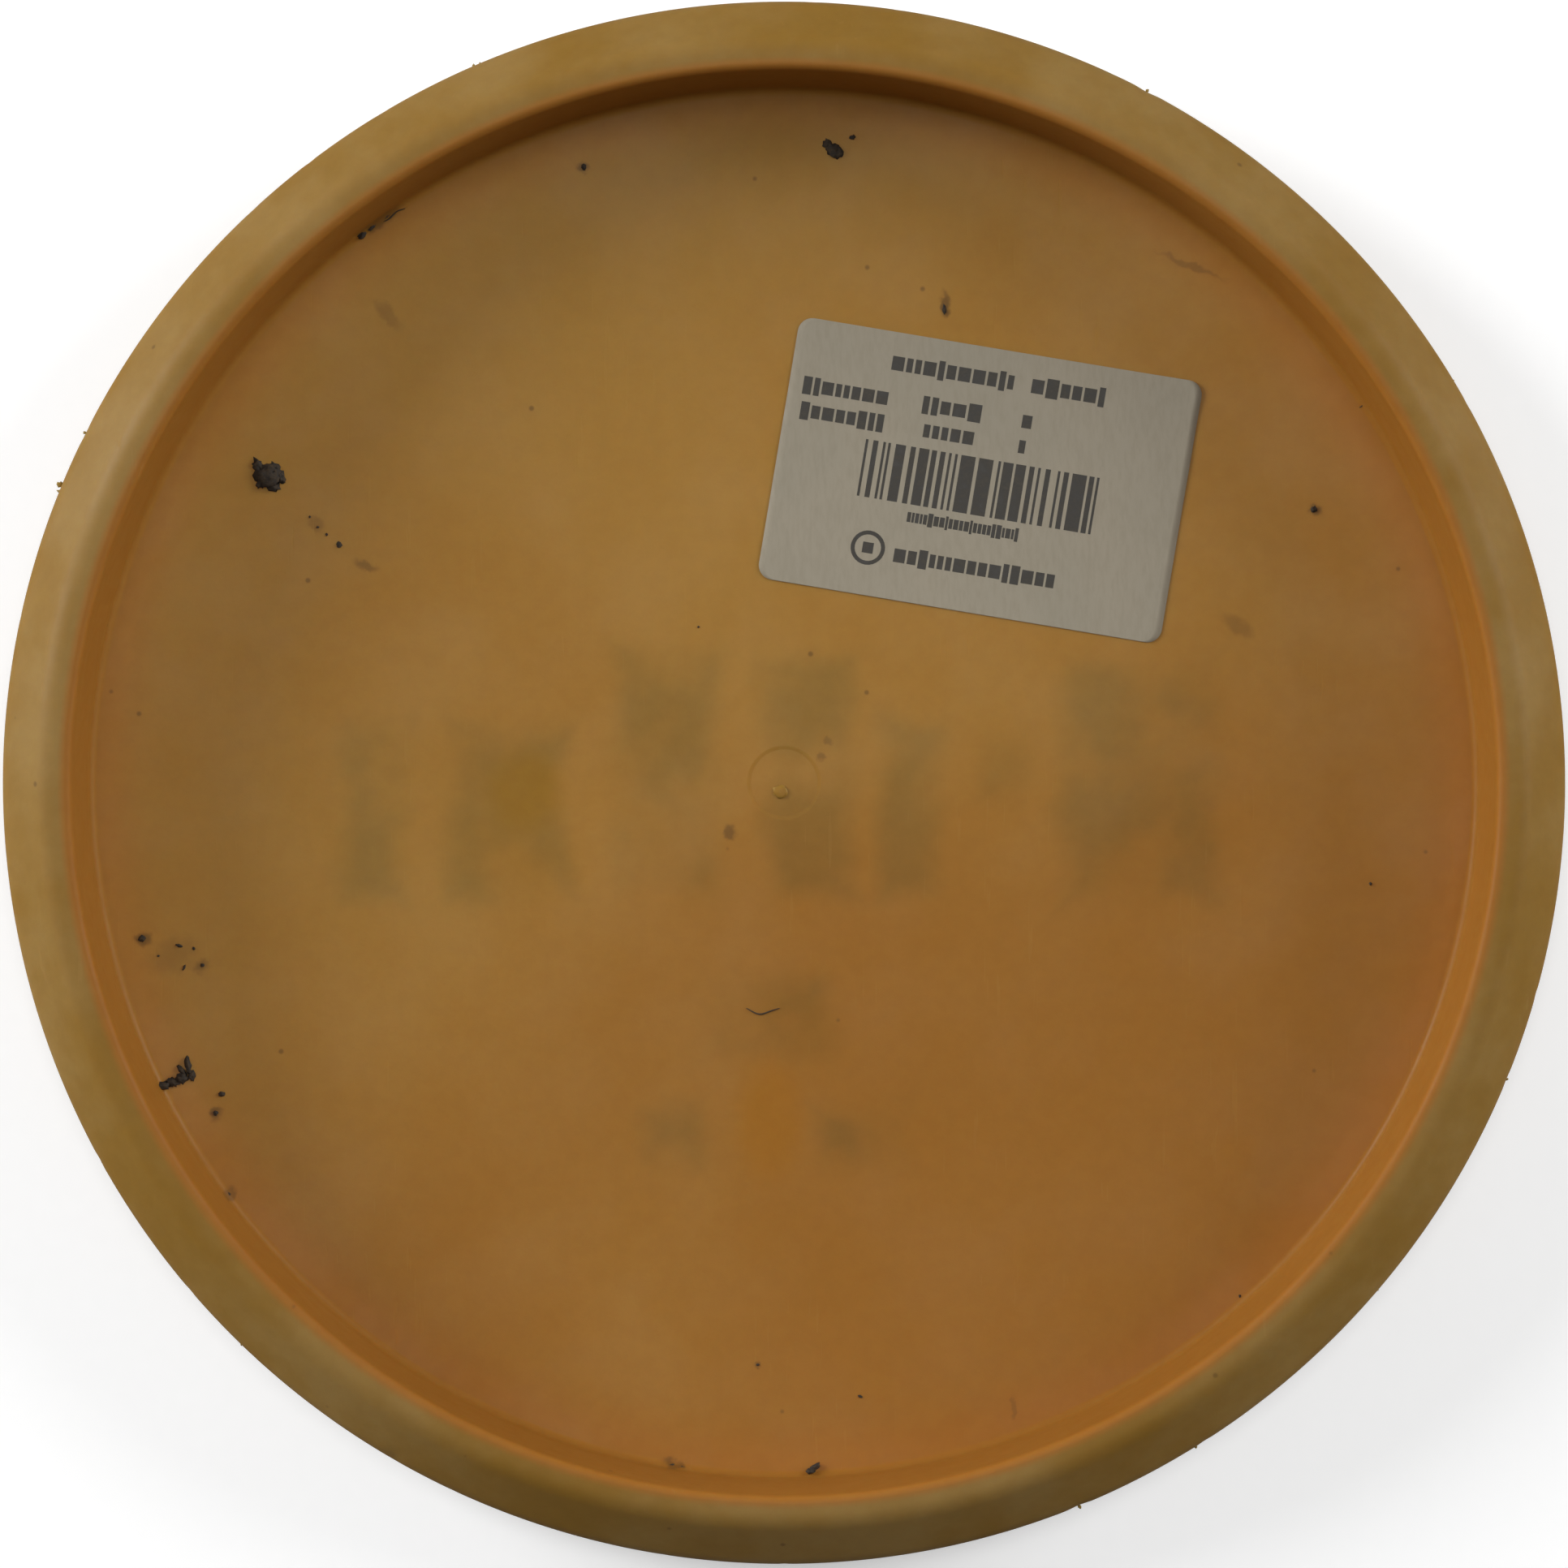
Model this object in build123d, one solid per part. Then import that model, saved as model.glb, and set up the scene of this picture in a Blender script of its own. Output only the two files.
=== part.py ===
from build123d import *
import math
import os

# A disc-golf putter, lying upside down on its flight plate with its hollow underside up.
# All sizes are in millimetres. +Z is up, out of the hollow side, and the origin is the middle
# of the face that the disc lies on, which is the middle of the disc's own top.

# Driving dimensions of the moulded disc.
DISC_RADIUS = 106.0
DISC_HEIGHT = 18.6
INNER_WALL_RADIUS = 95.3
PLATE_THICKNESS = 2.4

# The plate is flat in the middle and then curves away as a very shallow crown.
FLAT_RADIUS = 48.0
CROWN_RADIUS = 520.0

# Roundings of the rim's section.
NOSE_RADIUS = 4.5
SHOULDER_RADIUS = 13.0
BEVEL_SLOPE = 44.0
OUTER_EDGE_RADIUS = 4.0
INNER_EDGE_RADIUS = 1.0
CORNER_RADIUS = 1.1
LAND_WIDTH = 1.1

# The mark that the injection gate leaves in the middle of the underside.
GATE_DISH_RADIUS = 5.0
GATE_DISH_DEPTH = 0.12
GATE_STUB_SIDE = 1.7
GATE_STUB_HEIGHT = 0.3
GATE_STUB_TURN = 24.0

# The price label, stuck to the underside of the plate.
LABEL_LENGTH = 56.3
LABEL_WIDTH = 36.5
LABEL_CORNER_RADIUS = 2.0
LABEL_CENTRE = (27.0, 41.7)
LABEL_TURN = -9.5
ADHESIVE_THICKNESS = 0.02
PAPER_THICKNESS = 0.10

# The hot-stamped foil, pressed a little way into the disc's top.
FOIL_THICKNESS = 0.08
FOIL_SUNK = 0.02
STAMP_LEAN = 1.6
STAMP_CORNER_RADIUS = 0.8
STAMP_REACH = 72.0

# Blocks of the stamp: the middle's x and y, then the width and height.
BAND_BLOCKS = [
    (-56.5, -3.5, 9.5, 25.0),
    (-38.0, -3.5, 16.5, 25.0),
    (-15.8, 1.5, 13.5, 35.0),
    (3.5, 1.0, 13.5, 34.0),
    (17.5, -3.5, 8.0, 25.0),
    (30.5, 2.5, 7.0, 10.0),
    (49.5, 0.0, 22.5, 34.0),
]
EMBLEM_BLOCKS = [
    (-2.5, -32.5, 18.0, 11.0),
    (-15.5, -48.5, 8.5, 9.5),
    (11.0, -48.5, 12.0, 9.0),
]

# Worked out from the driving dimensions.
LAND_INNER = INNER_WALL_RADIUS + INNER_EDGE_RADIUS
LAND_OUTER = LAND_INNER + LAND_WIDTH
BEVEL_NORMAL = 90.0 - BEVEL_SLOPE
CROWN_CENTRE = (FLAT_RADIUS, CROWN_RADIUS)


def nose_centre():
    """Centre of the nose's arc: the bevel touches both it and the outer edge's rounding."""
    x = DISC_RADIUS - NOSE_RADIUS
    run = (LAND_OUTER - x) / math.tan(math.radians(BEVEL_NORMAL))
    growth = (OUTER_EDGE_RADIUS - NOSE_RADIUS) / math.sin(math.radians(BEVEL_NORMAL))
    return (x, DISC_HEIGHT - OUTER_EDGE_RADIUS + run + growth)


def shoulder_centre(nose):
    """Centre of the shoulder's arc, which touches the crown's arc and the nose's arc inside."""
    to_crown = CROWN_RADIUS - SHOULDER_RADIUS
    to_nose = SHOULDER_RADIUS - NOSE_RADIUS
    dx = nose[0] - CROWN_CENTRE[0]
    dy = nose[1] - CROWN_CENTRE[1]
    apart = math.hypot(dx, dy)
    along = (to_crown**2 - to_nose**2 + apart**2) / (2 * apart)
    aside = math.sqrt(to_crown**2 - along**2)
    return (
        CROWN_CENTRE[0] + (along * dx + aside * dy) / apart,
        CROWN_CENTRE[1] + (along * dy - aside * dx) / apart,
    )


def bearing(start, end):
    """Direction from start to end, in degrees, anticlockwise from the radial axis."""
    return math.degrees(math.atan2(end[1] - start[1], end[0] - start[0]))


def section_arc(centre, radius, start, end):
    """An arc of the section, from one bearing to the other."""
    return CenterArc(centre, radius, start, end - start)


def crown_height(radius, lift):
    """Height of the crown, raised by lift along its own normal, at a distance from the axis."""
    if radius <= FLAT_RADIUS:
        return lift
    return CROWN_RADIUS - math.sqrt((CROWN_RADIUS - lift) ** 2 - (radius - FLAT_RADIUS) ** 2)


def disc_section():
    """The disc's section, from the axis out over the top, round the rim and back inside."""
    nose = nose_centre()
    shoulder = shoulder_centre(nose)
    crown_end = bearing(CROWN_CENTRE, shoulder)
    nose_start = bearing(shoulder, nose)

    corner_x = INNER_WALL_RADIUS - CORNER_RADIUS
    corner_z = crown_height(corner_x, PLATE_THICKNESS + CORNER_RADIUS)
    corner = (corner_x, corner_z)
    corner_end = bearing(CROWN_CENTRE, corner)

    top_flat = Line((0, 0), (FLAT_RADIUS, 0))
    top_crown = section_arc(CROWN_CENTRE, CROWN_RADIUS, -90, crown_end)
    shoulder_arc = section_arc(shoulder, SHOULDER_RADIUS, crown_end, nose_start)
    nose_arc = section_arc(nose, NOSE_RADIUS, nose_start, BEVEL_NORMAL)
    edge_centre = (LAND_OUTER, DISC_HEIGHT - OUTER_EDGE_RADIUS)
    outer_edge = section_arc(edge_centre, OUTER_EDGE_RADIUS, BEVEL_NORMAL, 90)
    bevel = Line(nose_arc @ 1, outer_edge @ 0)
    land = Line((LAND_OUTER, DISC_HEIGHT), (LAND_INNER, DISC_HEIGHT))
    inner_edge = section_arc((LAND_INNER, DISC_HEIGHT - INNER_EDGE_RADIUS), INNER_EDGE_RADIUS, 90, 180)
    corner_arc = section_arc(corner, CORNER_RADIUS, 0, corner_end)
    wall = Line(inner_edge @ 1, corner_arc @ 0)
    under_crown = section_arc(CROWN_CENTRE, CROWN_RADIUS - PLATE_THICKNESS, corner_end, -90)
    under_flat = Line((FLAT_RADIUS, PLATE_THICKNESS), (0, PLATE_THICKNESS))
    axis_line = Line((0, PLATE_THICKNESS), (0, 0))
    return make_face(
        [
            top_flat,
            top_crown,
            shoulder_arc,
            nose_arc,
            bevel,
            outer_edge,
            land,
            inner_edge,
            wall,
            corner_arc,
            under_crown,
            under_flat,
            axis_line,
        ]
    )


def plate_layer(low, high, reach):
    """A solid of revolution that follows the plate, between two heights above the disc's top."""
    sides = []
    for lift in (low, high):
        flat = Line((0, lift), (FLAT_RADIUS, lift))
        turn = math.degrees(math.asin((reach - FLAT_RADIUS) / (CROWN_RADIUS - lift)))
        crown = section_arc(CROWN_CENTRE, CROWN_RADIUS - lift, -90, turn - 90)
        sides += [flat, crown]
    axis_line = Line((0, low), (0, high))
    end_line = Line((reach, crown_height(reach, low)), (reach, crown_height(reach, high)))
    return turned(make_face([*sides, axis_line, end_line]))


def turned(section):
    """The section, drawn as (radius, height), turned all the way round the disc's axis."""
    return revolve(Plane.XZ * section, Axis.Z, 360)


def stamp_outline():
    """Flat outlines of the stamp's plain blocks. The band's blocks all lean the same way."""
    blocks = []
    for x, y, width, height in BAND_BLOCKS:
        lean = STAMP_LEAN * height / 34.0
        corners = [
            (x - width / 2 - lean, y - height / 2),
            (x + width / 2 - lean, y - height / 2),
            (x + width / 2 + lean, y + height / 2),
            (x - width / 2 + lean, y + height / 2),
        ]
        block = make_face(Polyline(*corners, close=True))
        blocks.append(fillet(block.vertices(), STAMP_CORNER_RADIUS))
    for x, y, width, height in EMBLEM_BLOCKS:
        blocks.append(Pos(x, y) * RectangleRounded(width, height, 2 * STAMP_CORNER_RADIUS))
    return blocks


def stamp_solid(low, high):
    """The stamp's blocks as solids between two heights above the disc's top."""
    layer = plate_layer(low, high, STAMP_REACH)
    prisms = [extrude(block, 3 * PLATE_THICKNESS) for block in stamp_outline()]
    pieces = [layer & (Pos(0, 0, -PLATE_THICKNESS) * prism) for prism in prisms]
    return Compound([solid for piece in pieces for solid in piece.solids()])


def label_layer(low, high):
    """One layer of the label, between two heights above the plate's underside."""
    outline = RectangleRounded(LABEL_LENGTH, LABEL_WIDTH, LABEL_CORNER_RADIUS)
    placed = Pos(*LABEL_CENTRE) * Rot(0, 0, LABEL_TURN) * outline
    layer = plate_layer(PLATE_THICKNESS + low, PLATE_THICKNESS + high, INNER_WALL_RADIUS - 2)
    return layer & extrude(placed, 4 * PLATE_THICKNESS)


def disc():
    """The whole disc, rim and flight plate in one moulding."""
    body = turned(disc_section())
    dish = Pos(0, 0, PLATE_THICKNESS) * Cylinder(GATE_DISH_RADIUS, 2 * GATE_DISH_DEPTH)
    stub_height = GATE_DISH_DEPTH + GATE_STUB_HEIGHT
    stub = extrude(Rot(0, 0, GATE_STUB_TURN) * Rectangle(GATE_STUB_SIDE, GATE_STUB_SIDE), stub_height)
    body = body - dish + Pos(0, 0, PLATE_THICKNESS - GATE_DISH_DEPTH) * stub
    return body - stamp_solid(-PLATE_THICKNESS / 2, FOIL_SUNK + FOIL_THICKNESS)


def save(shape, node):
    """Writes one node's STEP file."""
    export_step(shape, f"parts/{node}.step")


os.makedirs("parts", exist_ok=True)
save(disc(), "disc")
save(label_layer(0, ADHESIVE_THICKNESS), "label_adhesive")
save(label_layer(ADHESIVE_THICKNESS, ADHESIVE_THICKNESS + PAPER_THICKNESS), "price_label")
save(stamp_solid(FOIL_SUNK, FOIL_SUNK + FOIL_THICKNESS), "stamp_foil")
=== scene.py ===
import math
import random

import bpy
import numpy as np
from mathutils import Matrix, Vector, noise


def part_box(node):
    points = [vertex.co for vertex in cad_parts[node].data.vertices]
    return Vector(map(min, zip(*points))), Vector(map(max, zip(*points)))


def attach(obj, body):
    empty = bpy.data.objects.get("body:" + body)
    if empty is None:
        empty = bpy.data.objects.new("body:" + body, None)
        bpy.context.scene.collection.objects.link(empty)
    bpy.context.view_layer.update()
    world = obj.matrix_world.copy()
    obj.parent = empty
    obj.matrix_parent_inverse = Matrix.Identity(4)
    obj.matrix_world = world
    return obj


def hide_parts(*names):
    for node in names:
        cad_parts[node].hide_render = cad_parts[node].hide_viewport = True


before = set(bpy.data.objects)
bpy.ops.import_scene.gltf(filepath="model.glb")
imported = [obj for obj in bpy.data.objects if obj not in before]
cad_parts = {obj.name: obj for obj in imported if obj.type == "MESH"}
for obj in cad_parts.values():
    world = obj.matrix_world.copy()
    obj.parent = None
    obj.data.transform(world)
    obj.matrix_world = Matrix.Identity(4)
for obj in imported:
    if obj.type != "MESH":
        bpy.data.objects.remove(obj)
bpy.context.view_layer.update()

# Lengths are in metres. The disc lies upside down on its flat top, with its hollow side up.
MM = 0.001
DISC_RADIUS = 106.0 * MM
DISC_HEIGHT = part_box("disc")[1].z
INNER_WALL_RADIUS = 95.3 * MM
PLATE_THICKNESS = 2.4 * MM
FLAT_RADIUS = 48.0 * MM
CROWN_RADIUS = 520.0 * MM
NOSE_RADIUS = 4.5 * MM
SHOULDER_RADIUS = 13.0 * MM
BEVEL_NORMAL = math.radians(46.0)
OUTER_EDGE_RADIUS = 4.0 * MM
INNER_EDGE_RADIUS = 1.0 * MM
CORNER_RADIUS = 1.1 * MM
LAND_WIDTH = 1.1 * MM
GATE_DISH_RADIUS = 5.0 * MM
GATE_DISH_DEPTH = 0.12 * MM
GATE_MIDDLE = (-0.5 * MM, -1.2 * MM)

LABEL_LENGTH = 56.3 * MM
LABEL_WIDTH = 36.5 * MM
LABEL_CORNER_RADIUS = 2.0 * MM
LABEL_MIDDLE = Vector((27.0, 41.7)) * MM
LABEL_TURN = math.radians(-9.5)
PAPER_THICKNESS = 0.10 * MM
PAPER_LIFT = 0.03 * MM

# Blocks of the stamp on the disc's top: the middle's x and y, then width and height, in mm.
BAND_BLOCKS = [
    (-56.5, -3.5, 9.5, 25.0),
    (-38.0, -3.5, 16.5, 25.0),
    (-15.8, 1.5, 13.5, 35.0),
    (3.5, 1.0, 13.5, 34.0),
    (17.5, -3.5, 8.0, 25.0),
    (30.5, 2.5, 7.0, 10.0),
    (49.5, 0.0, 22.5, 34.0),
]
EMBLEM_BLOCKS = [
    (-2.5, -32.5, 18.0, 11.0),
    (-15.5, -48.5, 8.5, 9.5),
    (11.0, -48.5, 12.0, 9.0),
]
STAMP_LEAN = 1.6 / 34.0

# The camera looks straight down from this height over the rim.
CAMERA_HEIGHT = 480.0 * MM
SENSOR = 36.0
LENS = 82.6

random.seed(7)
scene = bpy.context.scene


# ---------------------------------------------------------------- camera, floor and light


def link(thing):
    """Puts a new object into the scene."""
    scene.collection.objects.link(thing)
    return thing


def make_camera():
    """The view: straight down the disc's axis, a hair off its middle."""
    data = bpy.data.cameras.new("camera")
    data.sensor_width = SENSOR
    data.lens = LENS
    camera = link(bpy.data.objects.new("camera", data))
    camera.location = (0.0, -0.17 * MM, DISC_HEIGHT + CAMERA_HEIGHT)
    scene.camera = camera


make_camera()


def aim(thing, azimuth, elevation, distance):
    """Sets a lamp in that direction from the disc, turned to face it."""
    a = math.radians(azimuth)
    e = math.radians(elevation)
    away = Vector((math.cos(a) * math.cos(e), math.sin(a) * math.cos(e), math.sin(e)))
    thing.location = away * distance
    thing.rotation_mode = "QUATERNION"
    thing.rotation_quaternion = away.to_track_quat("Z", "Y")


def make_lamp(name, azimuth, elevation, level, width, distance=1.6):
    """A square soft box. level is the brightness of a white card that faces it at the disc."""
    data = bpy.data.lights.new(name, "AREA")
    data.shape = "DISK"
    data.size = width
    data.energy = level * math.pi**2 * distance**2
    aim(link(bpy.data.objects.new(name, data)), azimuth, elevation, distance)


def make_light():
    """Two low soft boxes, left and right of the far side, a high one, and a weak even sky."""
    scene.view_settings.view_transform = "Standard"
    world = bpy.data.worlds.new("sky")
    scene.world = world
    world.use_nodes = True
    tree = world.node_tree
    sky = tree.nodes["Background"]
    sky.inputs["Color"].default_value = (1.0, 1.0, 1.0, 1.0)
    path = tree.nodes.new("ShaderNodeLightPath")
    strength = tree.nodes.new("ShaderNodeMapRange")
    strength.inputs["To Min"].default_value = 0.11
    strength.inputs["To Max"].default_value = 1.0
    tree.links.new(path.outputs["Is Camera Ray"], strength.inputs["Value"])
    tree.links.new(strength.outputs["Result"], sky.inputs["Strength"])
    make_lamp("soft_box_left", 158.0, 19.0, 1.12, 0.9)
    make_lamp("soft_box_right", 22.0, 19.0, 0.78, 0.9)
    make_lamp("soft_box_high", 90.0, 84.0, 0.33, 0.9)


# ---------------------------------------------------------------- node helpers


def put(tree, socket, value):
    """Links a socket to a value that is itself a socket, or writes a plain value into it."""
    if isinstance(value, bpy.types.NodeSocket):
        tree.links.new(value, socket)
    elif isinstance(value, tuple) and len(value) == 3 and socket.type == "RGBA":
        socket.default_value = (*value, 1.0)
    else:
        socket.default_value = value


def node(tree, kind, settings=None, inputs=None):
    """A node with its settings, and its inputs by name or number."""
    made = tree.nodes.new(kind)
    for key, value in (settings or {}).items():
        setattr(made, key, value)
    for key, value in (inputs or {}).items():
        put(tree, made.inputs[key], value)
    return made


def calc(tree, operation, first, second=0.0, third=0.0):
    """A Math node's result."""
    settings = {"operation": operation}
    return node(tree, "ShaderNodeMath", settings, {0: first, 1: second, 2: third}).outputs[0]


def vector_calc(tree, operation, first, second=(0.0, 0.0, 0.0)):
    """A Vector Math node's vector."""
    settings = {"operation": operation}
    return node(tree, "ShaderNodeVectorMath", settings, {0: first, 1: second}).outputs["Vector"]


def smooth(tree, value, low, high, start=0.0, end=1.0):
    """start below low, end above high, and a smooth step between."""
    inputs = {"Value": value, "From Min": low, "From Max": high, "To Min": start, "To Max": end}
    settings = {"interpolation_type": "SMOOTHSTEP"}
    return node(tree, "ShaderNodeMapRange", settings, inputs).outputs["Result"]


def mix(tree, share, first, second, blend="MIX"):
    """Two colours mixed."""
    made = node(tree, "ShaderNodeMix", {"data_type": "RGBA", "blend_type": blend})
    put(tree, made.inputs["Factor"], share)
    put(tree, made.inputs[6], first)
    put(tree, made.inputs[7], second)
    return made.outputs[2]


def clouds(tree, where, scale, detail=3.0, roughness=0.5, distortion=0.0):
    """Noise from 0 to 1, mostly near a half."""
    inputs = {
        "Vector": where,
        "Scale": scale,
        "Detail": detail,
        "Roughness": roughness,
        "Distortion": distortion,
    }
    return node(tree, "ShaderNodeTexNoise", None, inputs).outputs["Fac"]


def stretched(tree, where, turn, scale):
    """Coordinates turned about the axis and then scaled, for grain that runs one way."""
    inputs = {"Vector": where, "Rotation": (0.0, 0.0, turn), "Scale": scale}
    return node(tree, "ShaderNodeMapping", {"vector_type": "POINT"}, inputs).outputs["Vector"]


def new_material(name):
    """An empty node material with its Principled shader."""
    material = bpy.data.materials.new(name)
    material.use_nodes = True
    tree = material.node_tree
    return material, tree, tree.nodes["Principled BSDF"]


def object_place(tree):
    """The point on the object, in metres."""
    return node(tree, "ShaderNodeTexCoord").outputs["Object"]


def spot_group():
    """A node group: 1 inside a soft ellipse on the plate, and 0 outside."""
    group = bpy.data.node_groups.new("soft_spot", "ShaderNodeTree")
    for name, kind in (("Place", "Vector"), ("Middle", "Vector"), ("Size", "Vector"), ("Turn", "Vector")):
        group.interface.new_socket(name, in_out="INPUT", socket_type=f"NodeSocket{kind}")
    group.interface.new_socket("Share", in_out="OUTPUT", socket_type="NodeSocketFloat")
    ends = node(group, "NodeGroupInput")
    out = node(group, "NodeGroupOutput")
    away = vector_calc(group, "SUBTRACT", ends.outputs["Place"], ends.outputs["Middle"])
    turn = node(group, "ShaderNodeVectorRotate", {"rotation_type": "EULER_XYZ"}, {"Vector": away})
    group.links.new(ends.outputs["Turn"], turn.inputs["Rotation"])
    scaled = vector_calc(group, "DIVIDE", turn.outputs["Vector"], ends.outputs["Size"])
    flat = vector_calc(group, "MULTIPLY", scaled, (1.0, 1.0, 0.0))
    reach = node(group, "ShaderNodeVectorMath", {"operation": "LENGTH"}, {0: flat}).outputs["Value"]
    group.links.new(smooth(group, reach, 0.35, 1.0, 1.0, 0.0), out.inputs["Share"])
    return group


def block_group():
    """A node group: 1 inside a soft leaning block on the plate, and 0 outside."""
    group = bpy.data.node_groups.new("soft_block", "ShaderNodeTree")
    for name in ("Place", "Middle", "Half"):
        group.interface.new_socket(name, in_out="INPUT", socket_type="NodeSocketVector")
    group.interface.new_socket("Share", in_out="OUTPUT", socket_type="NodeSocketFloat")
    ends = node(group, "NodeGroupInput")
    out = node(group, "NodeGroupOutput")
    away = vector_calc(group, "SUBTRACT", ends.outputs["Place"], ends.outputs["Middle"])
    size = vector_calc(group, "ABSOLUTE", away)
    over = vector_calc(group, "SUBTRACT", size, ends.outputs["Half"])
    parts = node(group, "ShaderNodeSeparateXYZ", None, {"Vector": over})
    edge = calc(group, "MAXIMUM", parts.outputs["X"], parts.outputs["Y"])
    group.links.new(smooth(group, edge, -3.2 * MM, 2.2 * MM, 1.0, 0.0), out.inputs["Share"])
    return group


SPOT = spot_group()
BLOCK = block_group()


def spot(tree, place, middle, size, turn=0.0):
    """Share of a soft spot. middle and size are in mm, turn in degrees."""
    inputs = {
        "Place": place,
        "Middle": (middle[0] * MM, middle[1] * MM, 0.0),
        "Size": (size[0] * MM, size[1] * MM, 1.0),
        "Turn": (0.0, 0.0, -math.radians(turn)),
    }
    return node(tree, "ShaderNodeGroup", {"node_tree": SPOT}, inputs).outputs["Share"]


def block(tree, place, x, y, width, height):
    """Share of a soft block. The sizes are in mm."""
    inputs = {
        "Place": place,
        "Middle": (x * MM, y * MM, 0.0),
        "Half": (width * MM / 2, height * MM / 2, 0.0),
    }
    return node(tree, "ShaderNodeGroup", {"node_tree": BLOCK}, inputs).outputs["Share"]


# ---------------------------------------------------------------- materials

PLATE_GOLD = (0.358, 0.188, 0.035)
PLATE_ORANGE = (0.303, 0.128, 0.017)
# Rim colours: a copy of the plate's plastic painted darker as shade, and its dust with a painted sheen.
RIM_GOLD_SHADED = (0.225, 0.120, 0.019)
RIM_DUST_AND_SHEEN = (0.265, 0.160, 0.046)
# Painted glow: deeper orange for the foot of the inner wall and for the wall, for light bounced and carried
# through the plastic.
FOOT_GLOW_ORANGE = (0.330, 0.118, 0.012)
WALL_GLOW_ORANGE = (0.290, 0.116, 0.017)
GHOST_TINT = (0.74, 0.82, 0.92)
MUD = (0.018, 0.012, 0.007)
STAIN = (0.085, 0.040, 0.012)
SCRATCH = (0.46, 0.29, 0.12)

# Soft stains on the underside: middle, size, turn, how strong.
STAINS = [
    ((22.2, 65.9), (0.9, 2.4), 0, 0.65),
    ((62.7, 21.5), (3.2, 1.6), -35, 0.30),
    ((56.0, 71.0), (6.5, 0.6), -22, 0.35),
    ((-57.7, 29.9), (2.4, 0.8), -20, 0.45),
    ((-64.6, 35.6), (2.0, 1.4), -50, 0.30),
    ((-7.4, -6.8), (1.3, 1.3), 0, 0.55),
    ((5.1, 3.7), (1.0, 0.8), 0, 0.40),
    ((6.2, 5.7), (0.8, 0.7), 0, 0.35),
    ((-88.1, -21.5), (1.6, 1.2), 0, 0.60),
    ((-80.3, -25.2), (1.8, 1.3), 20, 0.45),
    ((-84.0, -23.6), (4.5, 3.2), 30, 0.22),
    ((-76.1, -56.5), (1.7, 1.1), 60, 0.45),
    ((-54.6, 64.5), (3.4, 1.2), -50, 0.28),
    ((-78.1, -45.6), (1.1, 1.3), 0, 0.60),
    ((-55.8, 77.2), (4.8, 1.3), 32, 0.55),
    ((-27.5, 84.6), (1.3, 1.0), 0, 0.50),
    ((72.9, 37.6), (1.2, 1.0), 0, 0.50),
    ((31.5, -86.0), (0.5, 2.2), 0, 0.30),
    ((-3.6, -80.1), (0.7, 0.5), 0, 0.45),
    ((-15.0, -93.6), (2.0, 0.9), -20, 0.55),
]
YELLOWED = [
    ((-35.7, -1.0), (7.0, 8.0), 0, 0.75),
    ((-2.0, -46.5), (6.5, 11.0), 0, 0.85),
    ((-33.0, -6.0), (14.0, 13.0), 0, 0.25),
]


def add_up(tree, shares):
    """The sum of some shares, held at 1."""
    total = shares[0]
    for share in shares[1:]:
        total = calc(tree, "ADD", total, share)
    return calc(tree, "MINIMUM", total, 1.0)


def spots(tree, place, rows):
    """The sum of soft spots, each with its own strength."""
    shares = [calc(tree, "MULTIPLY", spot(tree, place, m, s, t), k) for m, s, t, k in rows]
    return add_up(tree, shares)


def show_through(tree, place):
    """Share of the stamp's shadow through the plate, with uneven soft edges."""
    wobble = node(tree, "ShaderNodeTexNoise", None, {"Vector": place, "Scale": 90.0, "Detail": 2.0})
    shift = vector_calc(tree, "SUBTRACT", wobble.outputs["Color"], (0.5, 0.5, 0.5))
    moved = vector_calc(tree, "ADD", place, vector_calc(tree, "MULTIPLY", shift, (7 * MM, 7 * MM, 0.0)))
    shares = [block(tree, moved, *sizes) for sizes in BAND_BLOCKS + EMBLEM_BLOCKS]
    uneven = smooth(tree, clouds(tree, place, 75.0, 2.0), 0.36, 0.60, 0.25, 1.0)
    return calc(tree, "MULTIPLY", add_up(tree, shares), uneven)


def scratches(tree, place, turn, density, rarity):
    """Share of thin straight scratches that run one way."""
    along = stretched(tree, place, turn, (density, density * 0.07, density))
    lines = clouds(tree, along, 1.0, 2.0, 0.6)
    broken = clouds(tree, place, 45.0, 2.0)
    thin = smooth(tree, lines, rarity, rarity + 0.03)
    return calc(tree, "MULTIPLY", thin, smooth(tree, broken, 0.50, 0.62))


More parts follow.
